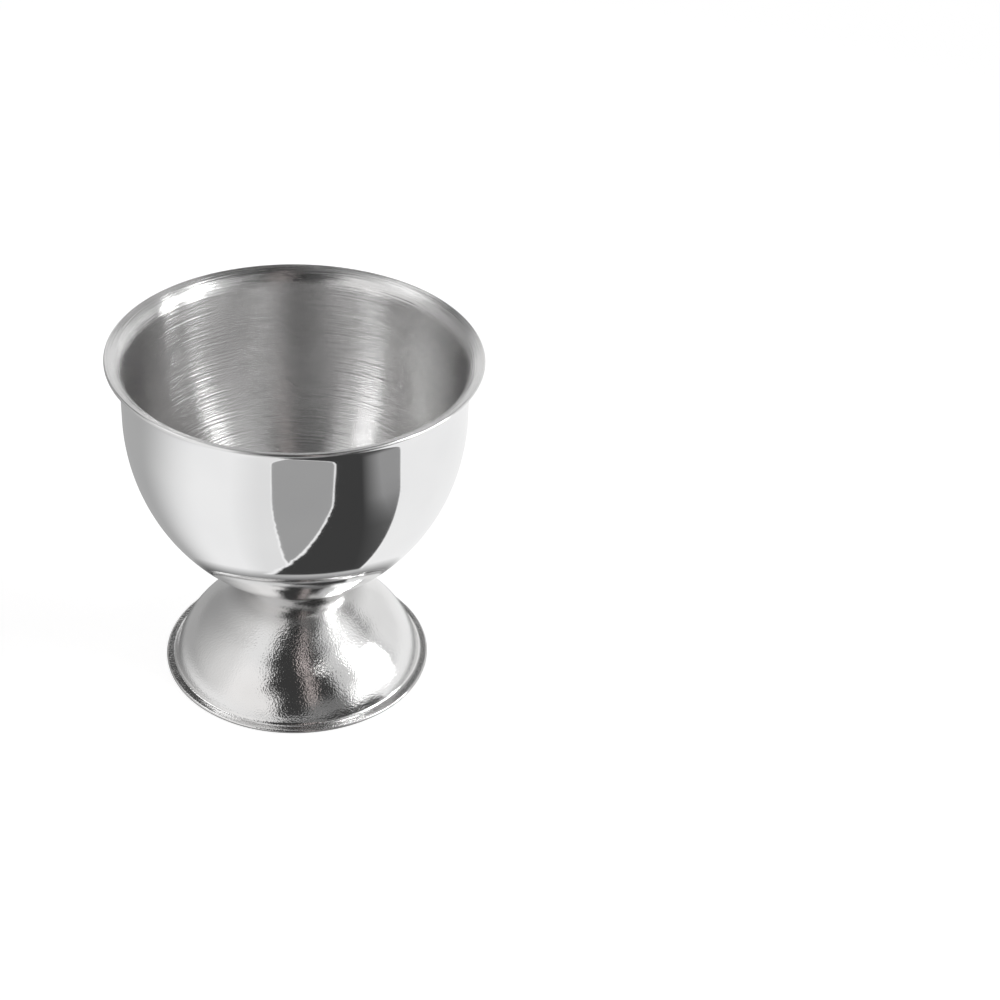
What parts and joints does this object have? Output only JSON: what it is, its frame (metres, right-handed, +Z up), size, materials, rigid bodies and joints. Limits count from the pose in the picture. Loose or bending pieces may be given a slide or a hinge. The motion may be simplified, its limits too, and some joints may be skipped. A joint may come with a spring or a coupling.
{
  "type": "egg cup",
  "caption": "Footed egg cup of pressed stainless steel: a round-bottomed bowl with a flared lip, spot-welded to a hollow domed foot with a narrow flange.",
  "frame": {"origin": "on the table, under the middle of the foot's flange", "axes": "+Z up along the axis that the bowl and the foot are turned about; +X and +Y lie in the table and can be swapped, because the cup is round"},
  "size_m": [0.05, 0.05, 0.05],
  "materials": {
    "bowl_steel": "mirror-polished outside, turned to a fine ring-wise grain inside and on the lip",
    "foot_steel": "satin, with the fine pebble of a pressed sheet",
    "weld_steel": "dull, as cast"
  },
  "bodies": {
    "root": {"bowl": "bowl_steel", "foot": "foot_steel", "spot_weld": "weld_steel"}
  },
  "joints": []
}
